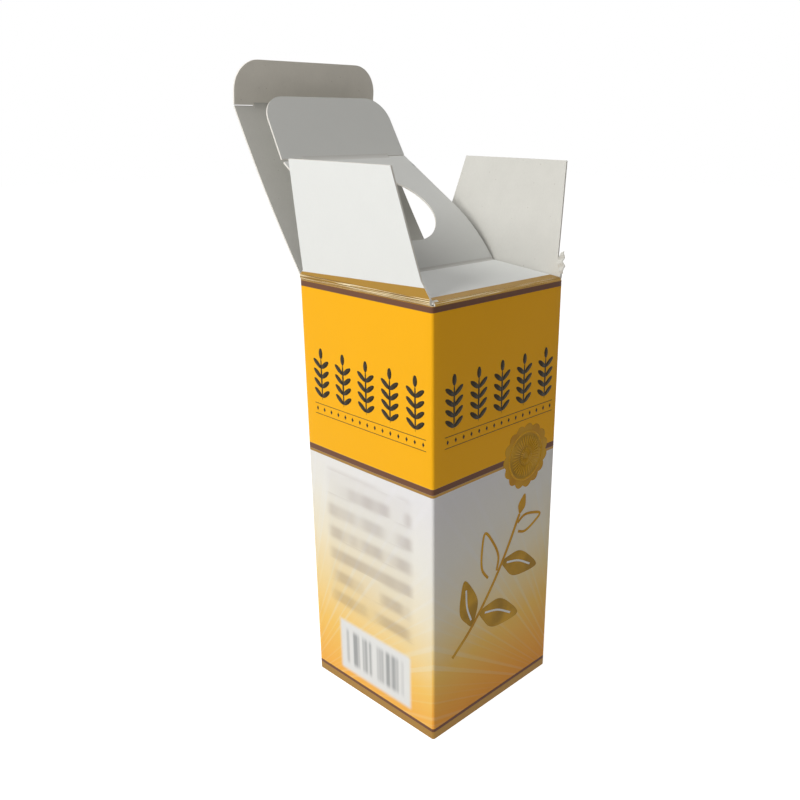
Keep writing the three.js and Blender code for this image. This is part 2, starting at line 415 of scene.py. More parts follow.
def bent(length, turn):
    """Along, inward and turn of a board that bends inwards evenly over a length and then runs straight."""
    def at(s):
        if not turn:
            return s, 0.0, 0.0
        angle = min(max(s, 0.0) / length, 1.0) * turn
        radius = length / turn
        straight = s - length if s > length else min(s, 0.0)
        along = radius * math.sin(angle) + straight * math.cos(angle)
        inward = radius * (1 - math.cos(angle)) + straight * math.sin(angle)
        return along, inward, angle
    return at


def folded(origin, across, lean, bend=bent(1.0, 0.0), warp=None):
    """Places a blank at a crease that runs across. It leaves the crease at the lean, measured from upright
    towards the outside; warp moves it inwards a little."""
    across = np.array(across, float)
    upright = np.array((0.0, 0.0, 1.0))
    outward = np.cross(across, upright)
    along = upright * math.cos(lean) + outward * math.sin(lean)
    inward = upright * math.sin(lean) - outward * math.cos(lean)
    origin = np.array(origin, float)

    def place(u, s):
        y, z, angle = bend(s)
        facing = inward * math.cos(angle) - along * math.sin(angle)
        point = origin + across * u + along * y + inward * z
        if warp:
            point = point + facing * warp(u, s)
        return point, facing
    return place


def arc(centre, radius, start, end, steps):
    made = []
    for i in range(steps + 1):
        angle = math.radians(start + (end - start) * i / steps)
        made.append((centre[0] + radius * math.cos(angle), centre[1] + radius * math.sin(angle)))
    return made


def tab_outline(half, foot, length, radius, narrowing, scored=0.0):
    """A tuck tab with two rounded corners at its free edge. Beyond the scored half width the crease is slit,
    and the tab starts right at it."""
    end = half - narrowing
    corners = arc((end - radius, length - radius), radius, 0, 90, 14)
    corners += arc((-end + radius, length - radius), radius, 90, 180, 14)
    if not scored:
        return [(-half, foot), (half, foot)] + corners
    slit = 0.16
    left_foot = [(-half, slit), (-scored, slit), (-scored, foot)]
    right_foot = [(scored, foot), (scored, slit), (half, slit)]
    return left_foot + right_foot + corners


# Tube
# Four printed walls in one wrap with rounded upright creases. The print is yellow above and white fading to
# orange below, parted by brown ink lines, each with a thin gold line.
RIM = 123.0
HALF = 25.0
SWELL = 0.18
FOLD = 0.8
corner_radius = 0.8
brown_ink = srgb(112, 76, 56)
gold_ink = srgb(164, 126, 62)
rim_gold = srgb(168, 128, 40)
yellow_ink = srgb(255, 186, 20)
ray_centre = (62.0, -12.0)
rays_per_radian = 26.0
fade_heights = (-15.0, 70.0)
lean_height = 45.0
row_grey = srgb(128, 104, 96)
label_white = srgb(238, 240, 240)
bar_grey = srgb(96, 102, 108)
row_pitch = 6.98
rows_across = (8.0, 42.0)
rows_heights = (27.0, 70.0)
label_across = (9.0, 39.0)
label_heights = (5.6, 22.6)
bar_heights = (8.4, 19.8)
bar_groups = ((12.0, 22.8), (25.2, 36.2))
brown_bands = ((120.6, 122.05), (74.35, 75.96), (2.3, 3.33))
gold_bands = ((122.05, 125.5), (73.6, 74.35), (-2.0, 2.3))
fade_colours = [
    (0.0, srgb(255, 160, 44)), (0.2, srgb(255, 186, 78)), (0.34, srgb(255, 208, 108)),
    (0.46, srgb(251, 226, 166)), (0.6, srgb(247, 238, 212)), (0.78, srgb(242, 241, 234)),
    (1.0, srgb(238, 238, 241)),
]


def between(tree, value, low, high, soft=0.06):
    """1 from low to high, with soft ends."""
    rise = soft_step(tree, value, low - soft, low + soft)
    fall = soft_step(tree, value, high - soft, high + soft)
    return maths(tree, "SUBTRACT", rise, fall, clamp=True)


def wall_mask(tree, place):
    """1 on the wall at the low end of this axis."""
    return soft_step(tree, maths(tree, "MULTIPLY", place, -1.0), HALF - 0.7, HALF - 0.5)


def patch(tree, away, z, across, heights, soft):
    """1 within a rectangle of a wall, with soft edges."""
    return maths(tree, "MULTIPLY", between(tree, away, *across, soft), between(tree, z, *heights, soft))


def bands(tree, z, heights):
    """1 within any of the bands, each given by its lower and upper height."""
    covered = 0.0
    for low, high in heights:
        covered = maths(tree, "ADD", covered, between(tree, z, low, high), clamp=True)
    return covered


def printed_face():
    """The outside print: yellow over a pale field with soft rays, and level bands of brown and gold."""
    made, tree, shader = finish("printed_wall")
    x, y, z = millimetres(tree)
    away = maths(tree, "ABSOLUTE", maths(tree, "SUBTRACT", x, y))
    # light rays fan out of the lower corner of each wall
    ray_up = maths(tree, "SUBTRACT", z, ray_centre[1])
    ray_angle = maths(tree, "ARCTAN2", ray_up, maths(tree, "SUBTRACT", ray_centre[0], away))
    rays = noise(tree, maths(tree, "MULTIPLY", ray_angle, rays_per_radian), 1.0, 2.0, along_line=True)
    ray = soft_step(tree, rays, 0.5, 0.72)
    # the fade slants up the wall and follows the rays. On the front wall, which stands in shade, it starts
    # higher: painted shade that makes that wall more orange
    higher_up = maths(tree, "DIVIDE", z, lean_height, clamp=True)
    slant = maths(tree, "MULTIPLY", higher_up, -0.3)
    fade_at = maths(tree, "MULTIPLY_ADD", away, slant, z)
    fade_at = maths(tree, "MULTIPLY_ADD", ray, 2.5, fade_at)
    front_shade_orange = maths(tree, "MULTIPLY", wall_mask(tree, y), maths(tree, "SUBTRACT", 1.0, higher_up))
    fade_at = maths(tree, "MULTIPLY_ADD", front_shade_orange, -10.0, fade_at)
    risen = maths(tree, "SUBTRACT", fade_at, fade_heights[0])
    fade = ramp(tree, maths(tree, "DIVIDE", risen, fade_heights[1] - fade_heights[0]), fade_colours)
    pale = mix(tree, maths(tree, "MULTIPLY", ray, 0.08), fade, (1, 1, 1, 1))
    # soft grey rows and a white label with bars, on the left wall
    left_wall = wall_mask(tree, x)
    rows = maths(tree, "SINE", maths(tree, "MULTIPLY", z, 0.9))
    row_number = maths(tree, "FLOOR", maths(tree, "DIVIDE", z, row_pitch))
    row_start = maths(tree, "MULTIPLY", row_number, 7.3)
    breaks_at = add(tree, "ShaderNodeCombineXYZ", {0: away, 1: row_start}).outputs[0]
    breaks = noise(tree, breaks_at, 0.1, 1.0)
    row = maths(tree, "MULTIPLY", soft_step(tree, rows, -1.0, 0.8), soft_step(tree, breaks, 0.3, 0.62))
    block = maths(tree, "MULTIPLY", patch(tree, away, z, rows_across, rows_heights, 1.6), left_wall)
    print_mask = maths(tree, "MULTIPLY", block, maths(tree, "MULTIPLY_ADD", row, 0.34, 0.07))
    lower = mix(tree, print_mask, pale, row_grey)
    label = maths(tree, "MULTIPLY", patch(tree, away, z, label_across, label_heights, 0.9), left_wall)
    lower = mix(tree, label, lower, label_white)
    stripes = noise(tree, away, 0.42, 1.0, along_line=True)
    bars = maths(tree, "MULTIPLY", soft_step(tree, stripes, 0.25, 0.7), between(tree, z, *bar_heights, 1.2))
    groups = maths(tree, "ADD", *(between(tree, away, *group, 0.8) for group in bar_groups))
    bars = maths(tree, "MULTIPLY", maths(tree, "MULTIPLY", bars, groups), left_wall)
    lower = mix(tree, maths(tree, "MULTIPLY", bars, 0.62), lower, bar_grey)
    shade, height = fibre(tree, 0.6, 22.0, 0.06)
    field = mix(tree, soft_step(tree, z, 75.9, 76.0), lower, yellow_ink)
    brown = bands(tree, z, brown_bands)
    gold = bands(tree, z, gold_bands)
    inked = mix(tree, brown, field, brown_ink)
    inked = mix(tree, gold, inked, gold_ink)
    tree.links.new(shaded(tree, inked, shade), shader.inputs["Base Color"])
    tree.links.new(maths(tree, "MULTIPLY", gold, 0.4), shader.inputs["Metallic"])
    tree.links.new(maths(tree, "MULTIPLY_ADD", height, 0.15, 0.4), shader.inputs["Roughness"])
    shader.inputs["Specular IOR Level"].default_value = 0.16
    emboss(tree, shader, height, 0.1, 0.05)
    return made


printed_wall = printed_face()
printed_faces = (printed_wall, grey_inside, pale_edge)


def wall_ring(out):
    """Points round the tube, this far out from its outer face, from the front right corner on."""
    ring = []
    radius = corner_radius + out
    flat = HALF - corner_radius
    corners = ((flat, -flat, -90), (flat, flat, 0), (-flat, flat, 90), (-flat, -flat, 180))
    for x, y, start in corners:
        ring += arc((x, y), radius, start, start + 90, 5)
    return spaced(ring, 2.4)


def wall_bulge(x, y, z):
    """How far the empty tube swells at a point, most at mid height. The front wall dips instead."""
    if abs(x) == abs(y):
        return 0.0
    side = max(0.0, math.cos(math.pi * (y if abs(x) > abs(y) else x) / (2 * HALF)))
    height = math.sin(math.pi * min(max(z / RIM, 0.0), 1.0))
    return SWELL * side * height * (-1 if y < -24 and abs(x) < 24.5 else 1)


def tube():
    outer = wall_ring(0.0)
    inner = wall_ring(-BOARD)
    levels = np.linspace(0.0, RIM - FOLD, 52)
    count = len(outer)
    points = []
    for ring in (outer, inner):
        for z in levels:
            for (ox, oy), (x, y) in zip(outer, ring):
                push = wall_bulge(ox, oy, z)
                if abs(ox) > abs(oy):
                    x += push * math.copysign(1, ox)
                else:
                    y += push * math.copysign(1, oy)
                points.append((x, y, z))
    rows = len(levels)
    inside = rows * count
    faces = []
    kinds = []
    for k in range(count):
        n = (k + 1) % count
        for j in range(rows - 1):
            a, b, c, d = j * count + k, j * count + n, (j + 1) * count + n, (j + 1) * count + k
            faces += [(a, b, c, d), (inside + d, inside + c, inside + b, inside + a)]
            kinds += [0, 1]
        top = (rows - 1) * count
        faces += [(top + k, top + n, inside + top + n, inside + top + k), (n, k, inside + k, inside + n)]
        kinds += [2, 2]
    return new_piece("tube", points, faces, kinds, printed_faces)


walls = tube()
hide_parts("carton_body")
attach(walls, "carton")

# Bottom and seam
# The bottom panel folds off the back wall and tucks behind the front one, over two inner flaps. The seam
# tab is glued inside the back wall. None of it opens without undoing the carton.


def lying(origin, across):
    """Places a blank lying flat, with its outer face down."""
    def place(u, s):
        along = np.cross((0, 0, 1.0), across)
        return np.array(origin) + np.array(across) * u + along * s, np.array((0, 0, 1.0))
    return place


floor_blank = cut_blank([(-24.2, -24.2), (24.2, -24.2), (24.2, 24.4), (-24.2, 24.4)], spacing=4)
floor_place = lying((0, 0, 0), (1.0, 0, 0))
bottom_panel = sheet("bottom_panel", floor_blank, floor_place, printed_faces)
front_blank = cut_blank(tab_outline(24.0, 0.0, 13.4, 4, 0.5), spacing=4)
front_place = folded((0, -24.15, 0.55), (1.0, 0, 0), 0.0)
bottom_tuck = sheet("bottom_tuck", front_blank, front_place, coated_faces)
flap_outline = [(-23.4, 0.0), (23.4, 0.0), (20.4, 20.0), (-20.4, 20.0)]
bottom_flaps = []
for name, x, way in (("bottom_flap_left", -24.45, -1.0), ("bottom_flap_right", 24.45, 1.0)):
    lies = lying((x, 0, BOARD + 0.02), (0, way, 0))
    bottom_flaps.append(sheet(name, cut_blank(flap_outline, spacing=4), lies, coated_faces))
seam_blank = cut_blank([(12.7, 3.5), (24.6, 3.5), (24.6, 120.0), (12.7, 118.0)], spacing=4)
seam_place = folded((0, HALF - BOARD - 0.02, 0), (-1.0, 0, 0), 0.0)
seam_tab = sheet("seam_tab", seam_blank, seam_place, coated_faces)
for piece in (bottom_panel, bottom_tuck, *bottom_flaps, seam_tab):
    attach(piece, "carton")

# Dust flaps
# A die-cut flap on each side wall, its front edge slanting off from a small shoulder. The gold print runs
# over the crease onto the outer face, wider at the front, because the sheet was cut a little askew.


def gold_on_white(name, mask):
    """The coated face with the gold print of the rim running onto it where the mask is 1."""
    made, tree, shader = finish(name)
    bleed = mask(tree, *millimetres(tree))
    shade, height = fibre(tree, 0.5, 9.0, 0.07)
    inked = mix(tree, bleed, srgb(*coating), rim_gold)
    tree.links.new(shaded(tree, inked, shade), shader.inputs["Base Color"])
    tree.links.new(maths(tree, "MULTIPLY", bleed, 0.5), shader.inputs["Metallic"])
    tree.links.new(maths(tree, "MULTIPLY_ADD", height, 0.2, 0.38), shader.inputs["Roughness"])
    emboss(tree, shader, height, 0.12, 0.05)
    return made


bleed_at_back = 1.5
bleed_at_front = 3.4


def askew(tree, x, y, z):
    """The foot of a dust flap, up to a line that rises towards the front."""
    slope = (bleed_at_back - bleed_at_front) / (2 * HALF)
    reach = maths(tree, "MULTIPLY_ADD", y, slope, RIM + (bleed_at_back + bleed_at_front) / 2)
    return soft_step(tree, maths(tree, "SUBTRACT", reach, z), -0.06, 0.06)


bled_white = gold_on_white("coated_with_bleed", askew)
flap_length = 30.8
left_lean = math.radians(11)
right_lean = math.radians(18)


def dust_blank(front):
    points = [(-24.4, FOLD), (24.4, FOLD), (22.2, 5.0), (17.8, flap_length)]
    points += [(-19.1, flap_length), (-22.8, 2.0)]
    outline = [(front * u, s) for u, s in points]
    return cut_blank(outline if front > 0 else outline[::-1])


def flap_warp(depth):
    """A slight hollow of a flap that has dried: most at the middle of its free edge."""
    return lambda u, s: depth * (s / flap_length) ** 2 * math.cos(math.pi * u / 60)


for name, node, x, way, lean, hollow in (
    ("left_flap", "left_dust_flap", -HALF, 1, left_lean, 0.2),
    ("right_flap", "right_dust_flap", HALF, -1, right_lean, 0.3),
):
    place = folded((x, 0, RIM), (0, -way, 0), lean, warp=flap_warp(hollow))
    flap = sheet(name, dust_blank(way), place, (bled_white, grey_inside, pale_edge))
    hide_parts(node)
    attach(flap, node)

# Torn scraps
# Opening has left a crumpled scrap of board at the foot of the right flap and a small curl at the front
# left corner.


def scrap(name, outline, place, body, materials):
    piece = sheet(name, cut_blank(outline, spacing=0.4), place, materials, 0.22)
    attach(piece, body)


def crumple(u, s):
    return 0.22 * math.sin(2.7 * s + 1.4 * u) + 0.12 * math.sin(5.1 * u - 1.9 * s)


torn_outline = [
    (-25.0, 0.9), (-24.2, 0.9), (-23.1, 2.6), (-22.6, 4.6), (-23.2, 6.4), (-23.9, 6.9), (-24.5, 5.6),
    (-24.3, 4.2), (-25.1, 3.0),
]
torn_place = folded((HALF - 0.35, 0, RIM), (0, 1, 0), math.radians(15), warp=crumple)
scrap("torn_scrap", torn_outline, torn_place, "right_dust_flap", coated_faces)
curl_outline = [(-1.1, 0.0), (1.1, 0.0), (0.9, 2.6), (-0.7, 2.3)]
curl_bend = bent(2.6, math.radians(190))
curl_place = folded((-HALF + 1.5, -HALF + 0.3, RIM - 0.5), (1, 0, 0), math.radians(4), curl_bend)
scrap("corner_curl", curl_outline, curl_place, "carton", (pale_edge, pale_edge, pale_edge))

# Lid
# The lid is printed outside and bare inside. It has kept a bow from being opened, and its tuck tab still
# leans in.
lid_half = 24.75
lid_length = 49.6
lid_lean = math.radians(35)
lid_bow = math.radians(8)
lid_scored = 18.6
lid_outline = [
    (-lid_half, FOLD), (lid_half, FOLD), (lid_half, lid_length), (lid_scored, lid_length),
    (lid_scored, lid_length - FOLD), (-lid_scored, lid_length - FOLD), (-lid_scored, lid_length),
    (-lid_half, lid_length),
]
lid_place = folded((0, HALF, RIM), (-1, 0, 0), lid_lean, bent(lid_length, lid_bow))
lid_panel = sheet("lid", cut_blank(lid_outline, spacing=2), lid_place, printed_faces)
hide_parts("lid_panel")
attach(lid_panel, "lid")
tuck_lean = math.radians(-7)
lid_end = np.array((0, 50.08, 165.708))
tuck_inward = np.array((0, -math.cos(tuck_lean), math.sin(tuck_lean)))
tuck_place = folded(lid_end - tuck_inward * BOARD, (-1, 0, 0), tuck_lean)
tuck_blank = cut_blank(tab_outline(lid_half, FOLD, 11.7, 7.8, 0, lid_scored))
# Painted light: the tuck's bare inner face is a lighter copy of the unbleached inside, brighter than the
# same board elsewhere
tuck_faces = (white_coat, bare_face("tuck_inside_painted_light", srgb(248, 245, 236)), pale_edge)
lid_tuck = sheet("lid_tuck_tab", tuck_blank, tuck_place, tuck_faces)
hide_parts("lid_tuck")
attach(lid_tuck, "lid_tuck")

# Neck shelf
# A riser folds in from the front wall, and the shelf rises from it in a curve to its own tuck tab. The
# bottle's neck stands in its round hole. Its white outer side faces up.
riser_half = 24.1
riser_depth = 24.4
riser_lean = math.radians(-85)
riser_place = folded((0, -HALF, RIM), (1, 0, 0), riser_lean)
riser_bleed_end = -21.3


def front_strip(tree, x, y, z):
    """The strip of the riser next to the rim."""
    return soft_step(tree, maths(tree, "SUBTRACT", riser_bleed_end, y), -0.08, 0.08)


riser_end = riser_depth - FOLD
riser_outline = [(-riser_half, FOLD), (riser_half, FOLD), (riser_half, riser_end), (-riser_half, riser_end)]
riser_faces = (gold_on_white("riser_with_bleed", front_strip), grey_inside, pale_edge)
riser = sheet("riser", cut_blank(riser_outline, spacing=2), riser_place, riser_faces)
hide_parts("neck_riser")
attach(riser, "neck_riser")
shelf_crease = np.array((0, -0.6932, 125.1266))
shelf_length = 44.0
shelf_end_half = riser_half - 1.9
shelf_scored = 15.5
shelf_bend = bent(21.0, math.radians(23))
shelf_place = folded(shelf_crease, (1, 0, 0), math.radians(-34), shelf_bend)
shelf_outline = [
    (-riser_half, FOLD), (riser_half, FOLD), (shelf_end_half, shelf_length), (shelf_scored, shelf_length),
    (shelf_scored, shelf_length - FOLD), (-shelf_end_half, shelf_length - FOLD),
]
# Painted shade: the shelf and its tuck tab get a darker grey copy of the coated white, standing in for the
# shade they lie in
shelf_faces = (coated_face("shelf_coating_painted_shade", srgb(215, 217, 215)), grey_inside, pale_edge)
neck_hole = arc((0, 22.3), 13.3, 0, 360, 90)[:-1]
shelf_blank = cut_blank(shelf_outline, [neck_hole], 1.3)
shelf = sheet("shelf", shelf_blank, shelf_place, shelf_faces)
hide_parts("neck_shelf")
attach(shelf, "neck_shelf")
shelf_tuck_place = folded((0, 33.474, 152.274), (1, 0, 0), math.radians(-29))
shelf_tuck_blank = cut_blank(tab_outline(shelf_end_half, FOLD, 18.1, 7, 0.4, shelf_scored))
shelf_tuck = sheet("shelf_tuck_tab", shelf_tuck_blank, shelf_tuck_place, shelf_faces)
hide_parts("shelf_tuck")
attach(shelf_tuck, "shelf_tuck")

# Creases
# Each scored fold is a rounded bead of the same board. At the rim the gold print has cracked along it and
# shows the pale pulp, and the pale lines are brighter and creamier than the pulp as a painted highlight
# along the crease. A fold bends between the two boards that it joins.


def cracked_glint_fold(name, grain, bare):
    """Gold print over a fold, cracked in long thin lines along the crease; the pale lines are partly bare
    pulp and partly a painted highlight.
    """
    made, tree, shader = finish(name)
    place = own_place(tree)
    drawn = add(tree, "ShaderNodeMapping", {"Vector": place, "Scale": grain}).outputs[0]
    cracks = noise(tree, drawn, 1.0, 3.0)
    crack_and_glint = soft_step(tree, cracks, bare, bare + 0.08)
    dark = maths(tree, "SUBTRACT", 1.0, soft_step(tree, cracks, 0.36, 0.44))
    # the pale cream lines: bare pulp in the cracks, brightened as a painted highlight along the crease
    base = mix(tree, crack_and_glint, rim_gold, srgb(250, 236, 196))
    base = mix(tree, maths(tree, "MULTIPLY", dark, 0.75), base, srgb(88, 58, 22))
    tree.links.new(base, shader.inputs["Base Color"])
    tree.links.new(maths(tree, "MULTIPLY_ADD", crack_and_glint, -0.5, 0.6), shader.inputs["Metallic"])
    shader.inputs["Roughness"].default_value = 0.3
    emboss(tree, shader, cracks, 1.0, 0.3)
    return made


cracked_glint_across = cracked_glint_fold("cracked_glint_gold_across", (45.0, 4200.0, 5000.0), 0.57)
cracked_glint_deep = cracked_glint_fold("cracked_glint_gold_deep", (4200.0, 45.0, 5000.0), 0.49)


def fold(name, half, before, before_at, after, materials, bead):
    """A strip of board from the end of one panel, round the crease, to the start of the next."""
    steps = 8
    columns = round(half)
    rows = steps + 1
    points = []
    for face in (0, 1):
        for i in range(columns + 1):
            u = -half + 2 * half * i / columns
            start, start_in = before(u, before_at)
            end, end_in = after(u, FOLD)
            crease = after(u, 0.0)[0]
            for j in range(rows):
                t = j / steps
                on = start * (1 - t) ** 2 + crease * 2 * t * (1 - t) + end * t * t
                inward = start_in * (1 - t) + end_in * t
                inward = inward / np.linalg.norm(inward)
                points.append(on + inward * BOARD if face else on - inward * bead * math.sin(math.pi * t))
    count = (columns + 1) * rows
    faces = []
    kinds = []
    for i in range(columns):
        for j in range(steps):
            a, b, c, d = i * rows + j, (i + 1) * rows + j, (i + 1) * rows + j + 1, i * rows + j + 1
            faces += [(a, b, c, d), (count + d, count + c, count + b, count + a)]
            kinds += [0, 1]
        for j, turned in ((0, False), (steps, True)):
            a, b = i * rows + j, (i + 1) * rows + j
            faces.append((a, b, count + b, count + a) if turned else (b, a, count + a, count + b))
            kinds.append(2)
    for i, turned in ((0, False), (columns, True)):
        for j in range(steps):
            a, b = i * rows + j, i * rows + j + 1
            faces.append((b, a, count + a, count + b) if turned else (a, b, count + b, count + a))
            kinds.append(2)
    piece = new_piece(name, points, faces, kinds, materials)
    if np.dot(piece.data.polygons[0].normal, before(0, before_at)[1]) > 0:
        piece.data.flip_normals()
    start = Vector(before(0, before_at)[0]) * MM
    end = Vector(after(0, FOLD)[0]) * MM
    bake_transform(piece)


across_fold = (cracked_glint_across, grey_inside, pale_edge)
deep_fold = (cracked_glint_deep, grey_inside, pale_edge)
# Painted shade: the plain folds of the neck shelf are a darker grey copy of the coated white, standing in
# for the shade in their creases
shade_painted_fold = (coated_face("scored_white_painted_shade", srgb(205, 205, 202)), grey_inside, pale_edge)
left_rim = folded((-HALF, 0, RIM), (0, -1, 0), 0.0)
right_rim = folded((HALF, 0, RIM), (0, 1, 0), 0.0)
back_rim = folded((0, HALF, RIM), (-1, 0, 0), 0.0)
front_rim = folded((0, -HALF, RIM), (1, 0, 0), 0.0)
left_place = folded((-HALF, 0, RIM), (0, -1, 0), left_lean)
right_place = folded((HALF, 0, RIM), (0, 1, 0), right_lean)
for name, half, before, before_at, after, bodies, materials, bead in (
    ("left_rim_fold", 24.4, left_rim, -FOLD, left_place, ("carton", "left_dust_flap"), deep_fold, 0.26),
    ("right_rim_fold", 24.4, right_rim, -FOLD, right_place, ("carton", "right_dust_flap"), deep_fold, 0.26),
    ("back_rim_fold", 24.6, back_rim, -FOLD, lid_place, ("carton", "lid"), across_fold, 0.1),
    ("front_rim_fold", 24.1, front_rim, -FOLD, riser_place, ("carton", "neck_riser"), across_fold, 0.0),
    (
        "lid_tuck_fold", lid_scored - 0.05, lid_place, lid_length - FOLD, tuck_place,
        ("lid", "lid_tuck"), printed_faces, 0.0,
    ),
    (
        "shelf_fold", riser_half, riser_place, riser_end, shelf_place,
        ("neck_riser", "neck_shelf"), shade_painted_fold, -0.12,
    ),
    (
        "shelf_tuck_fold", shelf_scored - 0.05, shelf_place, shelf_length - FOLD, shelf_tuck_place,
        ("neck_shelf", "shelf_tuck"), shade_painted_fold, 0.0,
    ),
):
    fold(name, half, before, before_at, after, materials, bead)

# Foil branch
# A branch with three full leaves, two open ones and a bud, stamped in gold foil on the front and back
# walls. Pale veins are left in the full leaves.
WALLS = {
    "front": ((-HALF, -HALF, 0), (1, 0, 0), (0, -1, 0)),
    "right": ((HALF, -HALF, 0), (0, 1, 0), (1, 0, 0)),
    "back": ((HALF, HALF, 0), (-1, 0, 0), (0, 1, 0)),
    "left": ((-HALF, HALF, 0), (0, -1, 0), (-1, 0, 0)),
}


def on_wall(side, proud):
    """Places flat print on a wall, a little proud: u runs from its left edge and v from the floor."""
    corner, across, outward = (np.array(v, float) for v in WALLS[side])

    def place(u, v):
        flat = corner + across * u + np.array((0, 0, 1.0)) * v
        return flat + outward * (proud + wall_bulge(*flat)), -outward
    return place


def smooth(points, closed=False, steps=6):
    """A curve through the points."""
    p = [np.array(q, float) for q in points]
    p = [p[-1], *p, p[0], p[1]] if closed else [p[0] * 2 - p[1], *p, p[-1] * 2 - p[-2]]
    made = []
    for a, b, c, d in zip(p, p[1:], p[2:], p[3:]):
        for i in range(steps):
            t = i / steps
            square = (2 * a - 5 * b + 4 * c - d) * t * t
            cube = (3 * b - a - 3 * c + d) * t**3
            made.append(0.5 * (2 * b + (c - a) * t + square + cube))
    return [tuple(q) for q in (made if closed else made + [p[-2]])]


def ribbon(points, width):
    """The outline of a line of ink along a curve."""
    line = np.array(smooth(points))
    along = np.gradient(line, axis=0)
    along /= np.linalg.norm(along, axis=1)[:, None]
    side = np.stack((-along[:, 1], along[:, 0]), 1) * width / 2
    return [tuple(q) for q in line - side] + [tuple(q) for q in (line + side)[::-1]]


def foil(name, colour):
    """Stamped metal foil: a soft uneven shine over a fine grain."""
    made, tree, shader = finish(name)
    place = own_place(tree)
    grain = noise(tree, place, 900.0, 3.0)
    cloud = noise(tree, place, 130.0, 2.0)
    # Painted highlight: soft clouds of a lighter gold in the foil's colour
    base = mix(tree, soft_step(tree, cloud, 0.3, 0.75), colour, srgb(196, 150, 30))
    tree.links.new(base, shader.inputs["Base Color"])
    tree.links.new(maths(tree, "MULTIPLY_ADD", grain, 0.2, 0.3), shader.inputs["Roughness"])
    shader.inputs["Metallic"].default_value = 0.15
    shader.inputs["Specular IOR Level"].default_value = 0.12
    emboss(tree, shader, grain, 0.35, 0.12)
    return made


gold_foil = foil("gold_foil", srgb(178, 126, 8))
# Painted shade: a darker copy of the foil for the full leaves and the rosette's boss
shaded_foil = foil("gold_foil_shaded", srgb(152, 114, 8))
# Painted highlight: a lighter copy of the foil for the rosette's beads and ribs
highlit_foil = foil("gold_foil_painted_highlight", srgb(216, 168, 56))
branch = [(7.5, 23.0), (15.0, 29.0), (23.0, 38.0), (29.5, 47.5), (35.0, 57.5)]
full_leaves = [
    ((15.5, 29.6), (12.2, 45.2), 3.7),
    ((18.5, 32.6), (35.5, 25.2), 4.3),
    ((27.8, 45.0), (43.6, 38.2), 3.8),
]
open_leaves = [((24.4, 40.0), (20.4, 56.6), 3.5), ((32.6, 53.4), (44.4, 54.6), 2.6)]


def leaf(root, tip, belly):
    """The outline of a leaf, widest a little below its middle."""
    root = np.array(root, float)
    along = np.array(tip, float) - root
    side = np.array((-along[1], along[0])) / np.linalg.norm(along) * belly
    half = ((0.16, 0.55), (0.4, 1.0), (0.7, 0.72))
    right_side = [root + along * a + side * s for a, s in half]
    left_side = [root + along * a - side * s for a, s in half[::-1]]
    return [root, *right_side, root + along, *left_side]


def stamp(name, outline, side, proud, material, spacing=1.2):
    """One shape of ink or foil on a wall."""
    blank = cut_blank(outline, spacing=spacing)
    piece = sheet(name, blank, on_wall(side, proud), (material, material, material), 0.12)
    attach(piece, "carton")


for side in ("front", "back"):
    stamp("branch_stem_" + side, ribbon(branch, 1.0), side, 0.05, gold_foil)
    stamp("branch_bud_" + side, smooth(leaf(branch[-1], (37.2, 63.2), 1.6), True), side, 0.06, gold_foil)
    for i, (root, tip, belly) in enumerate(full_leaves, 1):
        along = np.array(tip) - root
        # the full leaves are in the darker foil, as painted shade
        stamp(f"full_leaf_{i}_{side}", smooth(leaf(root, tip, belly), True), side, 0.04, shaded_foil)
        bow = np.array((-along[1], along[0])) * 0.045
        vein = [root + along * 0.14, root + along * 0.45 + bow, root + along * 0.8]
        stamp(f"leaf_vein_{i}_{side}", ribbon(vein, 0.6), side, 0.08, white_coat)
    for i, shape in enumerate(open_leaves, 1):
        stamp(f"open_leaf_{i}_{side}", ribbon(leaf(*shape)[1:], 0.8), side, 0.05, gold_foil)

# Rosette
# A scalloped gold foil rosette is embossed over the brown line of the front wall: a raised rim of beads and
# fine ribs round a plain boss. The beads and ribs are in a lighter foil as painted highlight, the boss in a
# darker one as painted shade.
rosette_middle = (36.9, 74.8)
rosette_radius = 8.7
scallops = 15


def piece_from(tree, name, values):
    """The plain mesh that a Geometry Nodes tree makes with these values for its named inputs."""
    holder = bpy.data.objects.new(name, bpy.data.meshes.new(name))
    bpy.context.scene.collection.objects.link(holder)
    modifier = holder.modifiers.new("made", "NODES")
    modifier.node_group = tree
    for item in tree.interface.items_tree:
        if item.in_out == "INPUT" and item.name in values:
            modifier[item.identifier] = values[item.name]
    settled = holder.evaluated_get(bpy.context.evaluated_depsgraph_get())
    mesh = bpy.data.meshes.new_from_object(settled)
    holder.modifiers.clear()
    holder.data = mesh
    return holder


def shape_tree(name, inputs):
    tree = bpy.data.node_groups.new(name, "GeometryNodeTree")
    for label, default in inputs.items():
        kind = "NodeSocketInt" if isinstance(default, int) else "NodeSocketFloat"
        tree.interface.new_socket(label, in_out="INPUT", socket_type=kind).default_value = default
    tree.interface.new_socket("Geometry", in_out="OUTPUT", socket_type="NodeSocketGeometry")
    return tree, add(tree, "NodeGroupInput").outputs


def end_tree(tree, geometry, material):
    whole = add(tree, "GeometryNodeRealizeInstances", {"Geometry": geometry})
    inked = add(tree, "GeometryNodeSetMaterial", {"Geometry": whole.outputs[0]})
    inked.inputs["Material"].default_value = material
    add(tree, "NodeGroupOutput", {"Geometry": inked.outputs[0]})


def repeated(tree, points, instance, **more):
    """The instance set at every point."""
    inputs = {"Points": points.outputs[0], "Instance": instance.outputs[0], **more}
    return add(tree, "GeometryNodeInstanceOnPoints", inputs)


